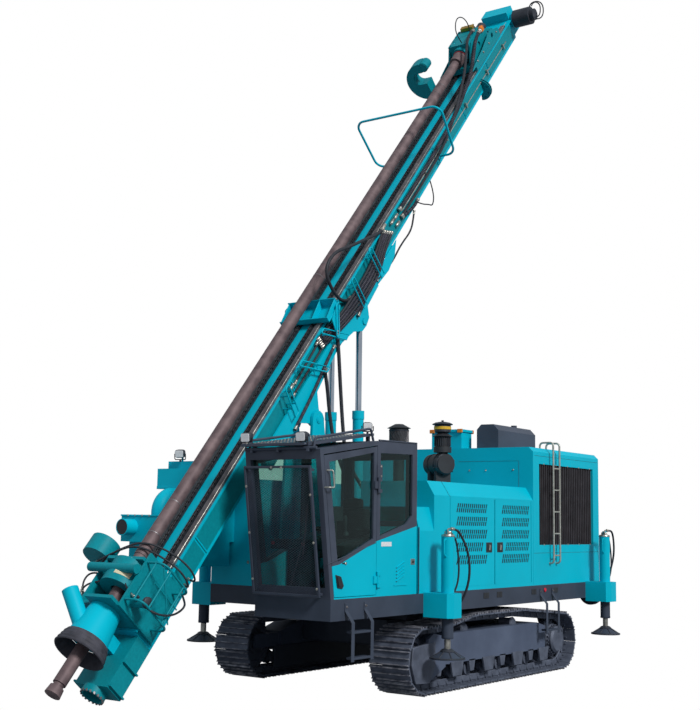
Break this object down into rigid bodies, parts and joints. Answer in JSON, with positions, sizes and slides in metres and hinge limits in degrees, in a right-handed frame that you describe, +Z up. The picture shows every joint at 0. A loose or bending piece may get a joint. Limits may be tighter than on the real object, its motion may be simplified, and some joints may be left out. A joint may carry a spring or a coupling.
{
  "type": "piling drilling rig",
  "caption": "Tracked drilling rig with a tall leaning mast, an operator's cab beside it, a long engine house, levelling jacks and a dust collector.",
  "frame": {"origin": "on the ground midway between the two tracks, at the middle of their ground contact", "axes": "+Z up along the overall height; the machine's front points to -Y; its left side, with the cab, is at +X"},
  "size_m": [4.1898, 10.432, 11.6912],
  "materials": {
    "body_paint": "gloss teal enamel",
    "frame_paint": "satin dark blue-grey enamel",
    "cab_paint": "satin black-grey enamel",
    "cab_glass": "clear safety glass",
    "track_steel": "worn dark steel",
    "dark_cast": "dark painted castings",
    "bare_steel": "bare bright steel",
    "chain_steel": "oiled chain",
    "chrome_rod": "hard chrome",
    "drill_steel": "rust-brown worn drill steel",
    "radiator_core": "dusty brown fins",
    "dark_plastic": "matt black",
    "seat_fabric": "dark woven cloth",
    "skirt_rubber": "matt black rubber"
  },
  "bodies": {
    "chassis": {"track_left": "track_steel", "track_right": "track_steel", "track_frame_left": "frame_paint", "track_frame_right": "frame_paint", "running_gear_left": "dark_cast", "running_gear_right": "dark_cast", "centre_frame": "frame_paint", "chassis_frame": "frame_paint", "jack_barrels": "body_paint", "hanging_steps": "frame_paint", "cab_base": "body_paint", "cab_frame": "cab_paint", "cab_windows": "cab_glass", "windscreen_guard": "cab_paint", "roof_guard": "cab_paint", "operator_seat": "seat_fabric", "control_consoles": "dark_plastic", "left_bay": "body_paint", "right_bay": "body_paint", "engine_hood": "body_paint", "radiator_grilles": "radiator_core", "engine_block": "dark_cast", "silencer_box": "cab_paint", "hood_ladder": "bare_steel", "air_cleaners": "dark_plastic", "cooler_box": "body_paint", "front_tank": "body_paint", "dust_collector": "body_paint", "mast_tower": "body_paint"},
    "cab_door": {"cab_door_panel": "body_paint", "cab_door_frame": "cab_paint", "cab_door_window": "cab_glass"},
    "left_front_service_door": {"left_bay_door_front": "body_paint"},
    "left_rear_service_door": {"left_bay_door_rear": "body_paint"},
    "right_front_service_door": {"right_bay_door_front": "body_paint"},
    "right_rear_service_door": {"right_bay_door_rear": "body_paint"},
    "left_front_jack": {"jack_foot_left_front": "frame_paint"},
    "left_rear_jack": {"jack_foot_left_rear": "frame_paint"},
    "right_front_jack": {"jack_foot_right_front": "frame_paint"},
    "right_rear_jack": {"jack_foot_right_rear": "frame_paint"},
    "carrier": {"mast_carrier": "body_paint"},
    "mast": {"mast_beam": "body_paint", "mast_foot": "body_paint", "slide_rails": "bare_steel", "feed_chains": "chain_steel", "clamp_table": "body_paint", "clamp_guard": "body_paint", "dust_cone": "body_paint", "dust_skirt": "skirt_rubber", "guard_hoop": "body_paint", "rod_loader": "body_paint", "feed_gearbox": "body_paint", "feed_motor": "dark_cast"},
    "head": {"rotary_head": "body_paint", "head_motors": "dark_cast"},
    "drill_string": {"drill_rod": "drill_steel", "hammer_and_bit": "drill_steel"},
    "hose_carriage": {"hose_carriage": "body_paint"},
    "lift_barrels": {"lift_barrels": "body_paint"},
    "lift_rods": {"lift_rods": "chrome_rod"}
  },
  "joints": [
    {"name": "cab_door_hinge", "type": "hinge", "parent": "chassis", "child": "cab_door", "pos_m": [1.62, -3.175, 2], "axis": [0, 0, 1], "range_deg": [0, 95]},
    {"name": "left_front_door_hinge", "type": "hinge", "parent": "chassis", "child": "left_front_service_door", "pos_m": [1.592, -1.405, 1.95], "axis": [0, 0, -1], "range_deg": [0, 100]},
    {"name": "left_rear_door_hinge", "type": "hinge", "parent": "chassis", "child": "left_rear_service_door", "pos_m": [1.592, 0.965, 1.95], "axis": [0, 0, 1], "range_deg": [0, 100]},
    {"name": "right_front_door_hinge", "type": "hinge", "parent": "chassis", "child": "right_front_service_door", "pos_m": [-1.592, -1.405, 1.95], "axis": [0, 0, 1], "range_deg": [0, 100]},
    {"name": "right_rear_door_hinge", "type": "hinge", "parent": "chassis", "child": "right_rear_service_door", "pos_m": [-1.592, 0.965, 1.95], "axis": [0, 0, -1], "range_deg": [0, 100]},
    {"name": "left_front_jack_slide", "type": "slide", "parent": "chassis", "child": "left_front_jack", "axis": [0, 0, -1], "range_m": [0, 0.6]},
    {"name": "left_rear_jack_slide", "type": "slide", "parent": "chassis", "child": "left_rear_jack", "axis": [0, 0, -1], "range_m": [0, 0.6]},
    {"name": "right_front_jack_slide", "type": "slide", "parent": "chassis", "child": "right_front_jack", "axis": [0, 0, -1], "range_m": [0, 0.6]},
    {"name": "right_rear_jack_slide", "type": "slide", "parent": "chassis", "child": "right_rear_jack", "axis": [0, 0, -1], "range_m": [0, 0.6]},
    {"name": "mast_tilt", "type": "hinge", "parent": "chassis", "child": "carrier", "pos_m": [-0.25, -2.26, 3.59], "axis": [1, 0, 0], "range_deg": [-49.2, 40.8]},
    {"name": "mast_slide", "type": "slide", "parent": "carrier", "child": "mast", "axis": [0, 0.6534, 0.757], "range_m": [0, 1.9]},
    {"name": "head_feed", "type": "slide", "parent": "mast", "child": "head", "axis": [0, -0.6534, -0.757], "range_m": [0, 9.6]},
    {"name": "hose_carriage_slide", "type": "slide", "parent": "mast", "child": "hose_carriage", "axis": [0, -0.6534, -0.757], "range_m": [0, 3.85]},
    {"name": "drill_spin", "type": "hinge", "parent": "head", "child": "drill_string", "pos_m": [-0.25, 0.13656, 8.12641], "axis": [0, 0.6534, 0.757], "continuous": true},
    {"name": "lift_barrel_swing", "type": "hinge", "parent": "chassis", "child": "lift_barrels", "pos_m": [-0.25, -1.3, 1.5], "axis": [1, 0, 0], "range_deg": [-20.2, 16.8]},
    {"name": "lift_rod_slide", "type": "slide", "parent": "lift_barrels", "child": "lift_rods", "axis": [0, -0.004, 1], "range_m": [-1, 0.83]}
  ],
  "couplings": [
    {"joint": "hose_carriage_slide", "follows": "head_feed", "ratio": 0.4},
    {"joint": "lift_barrel_swing", "follows": "mast_tilt", "ratio": 0.405},
    {"joint": "lift_rod_slide", "follows": "mast_tilt", "m_per_rad": 1.15}
  ]
}
